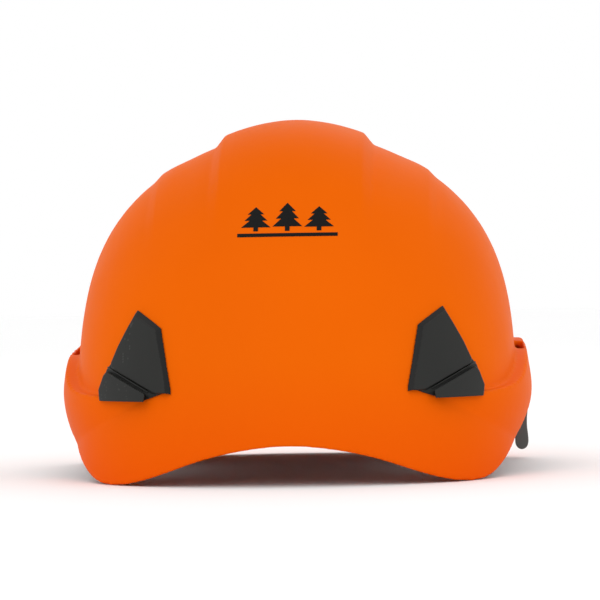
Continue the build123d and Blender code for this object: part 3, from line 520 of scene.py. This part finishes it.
mark_z = 0.1195
mark = [fir(x, 0.0068, mark_z - 0.0050, mark_z + top) for x, top in (
    (-0.0150, 0.0062), (-0.0005, 0.0080), (0.0140, 0.0062),
)]
mark.append([
    (-0.0235, mark_z - 0.0076), (0.0225, mark_z - 0.0076), (0.0225, mark_z - 0.0060), (-0.0235, mark_z - 0.0060),
])
mark_mesh = decal("fir_mark", mark, 0.8 * MM, 0.14 * MM)
add_piece("printed_fir_mark", mark_mesh, ink, "shell", "dark_plastic")


# ---------------------------------------------------------------- webbing
def centreline(name, angle, step_deg):
    """Middle of a CAD strap in its own upright plane, found by casting rays through it."""
    tree = surface_tree(name)
    along = Vector((math.sin(angle), -math.cos(angle), 0))
    centre = Vector((0, CROWN_Y, 0.078))
    line = []
    count = int(180 / step_deg)
    for i in range(count + 1):
        turn = math.radians(180.0 * i / count)
        way = along * math.cos(turn) + Vector((0, 0, math.sin(turn)))
        near = tree.ray_cast(centre, way)
        far = tree.ray_cast(centre + way * 0.3, -way)
        if near[0] is None or far[0] is None:
            continue
        line.append((near[0] + far[0]) / 2)
    return line, along


def ribbon(line, across, width, thick, sag=0.0):
    """A flat woven strap along a line, with rounded selvages and the map its weave follows."""
    section = []
    for i in range(17):
        u = -1 + 2 * i / 16
        section.append((u * width / 2, thick / 2 * math.sqrt(max(0.0, 1 - abs(u) ** 14)) * (1 + 0.10 * (abs(u) > 0.86))))
    loop = section + [(x, -y) for x, y in reversed(section[1:-1])]
    points, faces, maps = [], [], []
    run = 0.0
    for k, p in enumerate(line):
        before, after = line[max(0, k - 1)], line[min(len(line) - 1, k + 1)]
        tangent = (after - before).normalized()
        up = across.cross(tangent).normalized()
        if k:
            run += (p - line[k - 1]).length
        for x, y in loop:
            wave = sag * math.sin(run * 310.0) * (x / width) ** 2
            points.append(p + across * x + up * (y + wave))
            maps.append((x, run))
    n = len(loop)
    for k in range(len(line) - 1):
        for i in range(n):
            j = (i + 1) % n
            faces.append((k * n + i, k * n + j, (k + 1) * n + j, (k + 1) * n + i))
    faces.append(tuple(range(n)))
    faces.append(tuple((len(line) - 1) * n + i for i in reversed(range(n))))
    return points, faces, maps


def strap_mesh(name, strips):
    points, faces, maps = [], [], []
    for strip in strips:
        start = len(points)
        points.extend(strip[0])
        faces.extend(tuple(start + i for i in face) for face in strip[1])
        maps.extend(strip[2])
    mesh = bpy.data.meshes.new(name)
    mesh.from_pydata([tuple(p) for p in points], [], faces)
    layer = mesh.uv_layers.new(name="strap")
    for loop in mesh.loops:
        layer.data[loop.index].uv = maps[loop.vertex_index]
    build = bmesh.new()
    build.from_mesh(mesh)
    bmesh.ops.recalc_face_normals(build, faces=build.faces)
    build.to_mesh(mesh)
    build.free()
    shade(mesh)
    return mesh


def dash(place, along, up, length, radius):
    """One visible stitch: a short thread that dips into the cloth at both ends."""
    side = along.cross(up).normalized()
    points, faces = [], []
    rings = 5
    for k in range(rings):
        t = -1 + 2 * k / (rings - 1)
        centre = place + along * (t * length / 2) + up * (radius * (0.9 - 1.5 * t * t))
        size = radius * (1 - 0.25 * t * t)
        for i in range(6):
            turn = 2 * math.pi * i / 6
            points.append(centre + side * (size * math.cos(turn)) + up * (size * math.sin(turn)))
    for k in range(rings - 1):
        for i in range(6):
            j = (i + 1) % 6
            faces.append((k * 6 + i, k * 6 + j, (k + 1) * 6 + j, (k + 1) * 6 + i))
    faces.append(tuple(range(6)))
    faces.append(tuple((rings - 1) * 6 + i for i in reversed(range(6))))
    maps = [((i % 6) * 0.0001, (i // 6) * 0.0003) for i in range(len(points))]
    return points, faces, maps


CROWN_Y = -0.004
STRAP_WIDTH = 0.019
strap_angles = {"crown_strap_side": 90.0, "crown_strap_left_front": 30.0, "crown_strap_right_front": 330.0}
for name, degrees in strap_angles.items():
    line, along = centreline(name, math.radians(degrees), 1.0)
    across = Vector((-along.y, along.x, 0))
    strips = [ribbon(line, across, STRAP_WIDTH, 1.15 * MM)]
    stitches = []
    for end in (1, -1):
        ordered = line if end == 1 else list(reversed(line))
        tail, run = [], 0.0
        for k in range(len(ordered) - 1):
            step = ordered[k + 1] - ordered[k]
            tangent = step.normalized()
            inward = across.cross(tangent).normalized()
            if inward.dot(Vector((0, CROWN_Y, 0.1)) - ordered[k]) < 0:
                inward = -inward
            tail.append((ordered[k] + inward * (1.28 * MM), tangent, inward, run))
            run += step.length
            if run > 0.024:
                break
        strips.append(ribbon([t[0] for t in tail], across, STRAP_WIDTH * 0.97, 1.1 * MM))
        for t in tail:
            place, tangent, inward, where = t
            for row in (0.0075, 0.0105, 0.0175, 0.0205):
                if abs(where - row) < 0.0009:
                    for i in range(-6, 7):
                        stitches.append(dash(place + across * (i * 1.3 * MM) + inward * (0.50 * MM), across, inward, 1.05 * MM, 0.16 * MM))
    mesh = strap_mesh(name + "_webbing", strips)
    piece = add_piece(name + "_woven", mesh, materials["webbing"], "shell", "webbing", name)
    if stitches:
        sewn = strap_mesh(name + "_thread", stitches)
        add_piece(name + "_bar_tacks", sewn, thread, "shell", "webbing")


# ---------------------------------------------------------------- padded pieces
def sewn_pad(name, voxel, inset, cap, pressure, held):
    """A CAD pad's shape, shrunk a little, then filled by a short cloth simulation. held(point) is 1 on
    the side that lies on plastic, where the cover can't swell."""
    mesh = nodes[name].data.copy()
    piece = temporary(mesh)
    remesh = piece.modifiers.new("remesh", "REMESH")
    remesh.mode = "VOXEL"
    remesh.voxel_size = voxel
    shrink = piece.modifiers.new("shrink", "DISPLACE")
    shrink.strength = -inset
    shrink.mid_level = 0.0
    ease = piece.modifiers.new("ease", "SMOOTH")
    ease.iterations = 2
    made = baked(piece)
    bpy.data.objects.remove(piece)
    piece = temporary(made)
    start = [v.co.copy() for v in made.vertices]
    group = piece.vertex_groups.new(name="held")
    for i, p in enumerate(start):
        group.add([i], held(p), "REPLACE")
    cloth = piece.modifiers.new("cloth", "CLOTH")
    cloth.settings.quality = 6
    cloth.settings.mass = 0.15
    cloth.settings.tension_stiffness = 12
    cloth.settings.compression_stiffness = 12
    cloth.settings.bending_stiffness = 0.4
    cloth.settings.use_pressure = True
    cloth.settings.uniform_pressure_force = pressure
    cloth.settings.vertex_group_mass = "held"
    cloth.settings.effector_weights.gravity = 0.0
    cloth.collision_settings.use_collision = False
    cloth.point_cache.frame_start = 1
    cloth.point_cache.frame_end = 20
    for number in range(1, 21):
        bpy.context.scene.frame_set(number)
    filled = baked(piece)
    for v, p in zip(filled.vertices, start):
        move = v.co - p
        if move.length > cap:
            v.co = p + move.normalized() * cap
    bpy.context.scene.frame_set(1)
    bpy.data.objects.remove(piece)
    return filled


def divided(mesh):
    piece = temporary(mesh)
    modifier = piece.modifiers.new("divide", "SUBSURF")
    modifier.levels = 1
    modifier.render_levels = 1
    made = baked(piece)
    bpy.data.objects.remove(piece)
    shade(made)
    return made


def groove(distance, half_width):
    """How far a seam is drawn in at some distance from its line, from 0 to 1."""
    if distance >= half_width:
        return 0.0
    return 0.5 + 0.5 * math.cos(math.pi * distance / half_width)


def plan_angle(p, centre_y):
    return math.atan2(p.x, -(p.y - centre_y))


# sweatband: a padded strip against the brow, quilted by upright seams, bound along both edges
brow_tree = surface_tree("headband")


def brow_held(p):
    near = brow_tree.find_nearest(p)
    return 1.0 if near[3] is not None and near[3] < 1.3 * MM else 0.0


low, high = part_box("sweatband")
brow = sewn_pad("sweatband", 1.5 * MM, 0.35 * MM, 0.9 * MM, 3.0, brow_held)
brow = divided(brow)
middle_z = (low[2] + high[2]) / 2
half_z = (high[2] - low[2]) / 2
brow_stitches = []
seam_step = math.radians(12.0)
for v in brow.vertices:
    p = v.co
    near = brow_tree.find_nearest(p)
    if near[3] > 1.2 * MM:
        away = (p - near[0])
        away.z = 0
        away.normalize()
        turn = plan_angle(p, 0.002)
        off = abs((turn + seam_step / 2) % seam_step - seam_step / 2) * math.hypot(p.x, p.y)
        draw = 1.15 * groove(off, 2.4 * MM) * (abs(p.z - middle_z) < half_z - 3.4 * MM)
        draw = max(draw, 0.9 * groove(abs(abs(p.z - middle_z) - (half_z - 3.6 * MM)), 1.5 * MM))
        v.co = p - away * (draw * MM * min(1.0, (near[3] - 1.2 * MM) / (1.2 * MM)))
brow_piece = add_piece("sweatband_padded", brow, materials["pad_fabric"], "shell", "pad_fabric", "sweatband")
brow_surface = BVHTree.FromPolygons([v.co.copy() for v in brow.vertices], [tuple(p.vertices) for p in brow.polygons])
for row in (-1, 1):
    z = middle_z + row * (half_z - 3.6 * MM)
    turn = -1.30
    while turn < 1.30:
        way = Vector((math.sin(turn), -math.cos(turn), 0))
        hit = brow_surface.ray_cast(Vector((0, 0.002, z)), way)
        if hit[0] is not None:
            inward = -way
            around = Vector((way.y, -way.x, 0))
            brow_stitches.append(dash(hit[0] + inward * (0.05 * MM), around, inward, 1.7 * MM, 0.20 * MM))
        turn += 0.0265
if brow_stitches:
    add_piece("sweatband_stitching", strap_mesh("brow_thread", brow_stitches), thread, "shell", "pad_fabric")

# nape pad: held flat against the cradle, two upright seams
cradle_tree = surface_tree("nape_cradle")


def nape_held(p):
    near = cradle_tree.find_nearest(p)
    return 1.0 if near[3] is not None and near[3] < 1.4 * MM else 0.0


low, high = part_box("nape_pad")
nape = divided(sewn_pad("nape_pad", 1.4 * MM, 0.35 * MM, 1.1 * MM, 3.0, nape_held))
nape_mid = (low[2] + high[2]) / 2
nape_half = (high[2] - low[2]) / 2
for v in nape.vertices:
    p = v.co
    near = cradle_tree.find_nearest(p)
    if near[3] > 1.4 * MM:
        away = p - near[0]
        away.z = 0
        away.normalize()
        turn = math.atan2(p.x, p.y - 0.007)
        draw = max(groove(abs(abs(turn) - 0.19) * 0.076, 2.2 * MM), groove(abs(abs(p.z - nape_mid) - (nape_half - 3.2 * MM)), 1.4 * MM) * 0.8)
        v.co = p - away * (1.1 * MM * draw * min(1.0, (near[3] - 1.4 * MM) / (1.0 * MM)))
nape_piece = add_piece("nape_pad_padded", nape, materials["pad_fabric"], body_of["nape_pad"], "pad_fabric", "nape_pad")

# crown pad: a round pad under the crossing of the straps, sewn in six sectors
crown_tree = surface_tree("crown_strap_side")
low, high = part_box("crown_pad")
top_z = high[2]
span = (high[0] - low[0]) / 2


def crown_held(p):
    return 1.0 if math.hypot(p.x, p.y - CROWN_Y) < 9 * MM and p.z > top_z - 3.0 * MM else 0.0


crown = divided(sewn_pad("crown_pad", 1.7 * MM, 0.4 * MM, 1.0 * MM, 3.0, crown_held))
middle = (low[2] + high[2]) / 2
for v in crown.vertices:
    p = v.co
    out = math.hypot(p.x, p.y - CROWN_Y)
    turn = math.atan2(p.x, -(p.y - CROWN_Y))
    step = math.radians(60)
    off = abs((turn + step / 2) % step - step / 2) * out
    draw = groove(off, 2.6 * MM) * (1.0 if out < span - 5 * MM else 0.0)
    draw = max(draw, groove(abs(out - (span - 4.6 * MM)), 1.8 * MM))
    centre_z = top_z - 3.0 * MM - 0.0034 * (out / span) ** 2
    v.co.z = p.z + (centre_z - p.z) * 0.32 * draw
crown_piece = add_piece("crown_pad_padded", crown, materials["pad_fabric"], "shell", "pad_fabric", "crown_pad")

# ---------------------------------------------------------------- stage, light, camera
floor_mesh = mesh_from(
    "floor_mesh",
    [(-6, -6, 0), (6, -6, 0), (6, 6, 0), (-6, 6, 0)],
    [(0, 1, 2, 3)],
)
floor = bpy.data.objects.new("floor", floor_mesh)
bpy.context.scene.collection.objects.link(floor)
floor.location = (0, 0, -0.0002)
floor_material, floor_tree, floor_shader = new_material("pale_floor", (0.99, 0.99, 0.99), 0.8)
floor_shader.inputs["Specular IOR Level"].default_value = 0.1
grain = noise(floor_tree, node(floor_tree, "ShaderNodeTexCoord").outputs["Object"], 30.0, 3.0)
floor_tone = mix_colour(floor_tree, grain, (0.985, 0.985, 0.985), (0.995, 0.995, 0.995))
floor_tree.links.new(floor_tone, floor_shader.inputs["Base Color"])
clear = node(floor_tree, "ShaderNodeBsdfTransparent")
one_sided = node(floor_tree, "ShaderNodeMixShader")
floor_tree.links.new(node(floor_tree, "ShaderNodeNewGeometry").outputs["Backfacing"], one_sided.inputs[0])
floor_tree.links.new(floor_shader.outputs[0], one_sided.inputs[1])
floor_tree.links.new(clear.outputs[0], one_sided.inputs[2])
floor_tree.links.new(one_sided.outputs[0], floor_tree.nodes["Material Output"].inputs["Surface"])
floor_mesh.materials.append(floor_material)

world = bpy.data.worlds.new("studio")
world.use_nodes = True
world.node_tree.nodes["Background"].inputs["Color"].default_value = (1.0, 1.0, 1.0, 1.0)
world.node_tree.nodes["Background"].inputs["Strength"].default_value = 1.0
bpy.context.scene.world = world


def area_light(name, place, target, size, power):
    light = bpy.data.lights.new(name, "AREA")
    light.shape = "SQUARE"
    light.size = size
    light.energy = power
    lamp = bpy.data.objects.new(name, light)
    bpy.context.scene.collection.objects.link(lamp)
    lamp.location = place
    lamp.rotation_euler = (Vector(target) - Vector(place)).to_track_quat("-Z", "Y").to_euler()


area_light("key", (-0.7, -1.5, 1.5), (0, 0, 0.08), 0.8, 3.0)
area_light("fill", (1.3, -1.2, 0.7), (0, 0, 0.08), 1.2, 1.0)
area_light("back", (0.3, 1.4, 1.3), (0, 0, 0.1), 1.0, 2.0)

camera_data = bpy.data.cameras.new("camera")
camera_data.lens = 197.0
camera_data.sensor_width = 36.0
camera_data.clip_start = 0.05
camera_data.clip_end = 50.0
camera = bpy.data.objects.new("camera", camera_data)
bpy.context.scene.collection.objects.link(camera)
yaw, rise, roll = math.radians(2.2), math.radians(0.5), math.radians(-0.9)
aim = Vector((0.001, 0, 0.082))
reach = 1.6
camera.location = aim + Vector(
    (math.sin(yaw) * math.cos(rise), -math.cos(yaw) * math.cos(rise), math.sin(rise))
) * reach
look = (aim - camera.location).to_track_quat("-Z", "Y").to_matrix()
camera.rotation_euler = (look @ Matrix.Rotation(roll, 3, "Z")).to_euler()
bpy.context.scene.camera = camera
bpy.context.scene.view_settings.view_transform = "Standard"
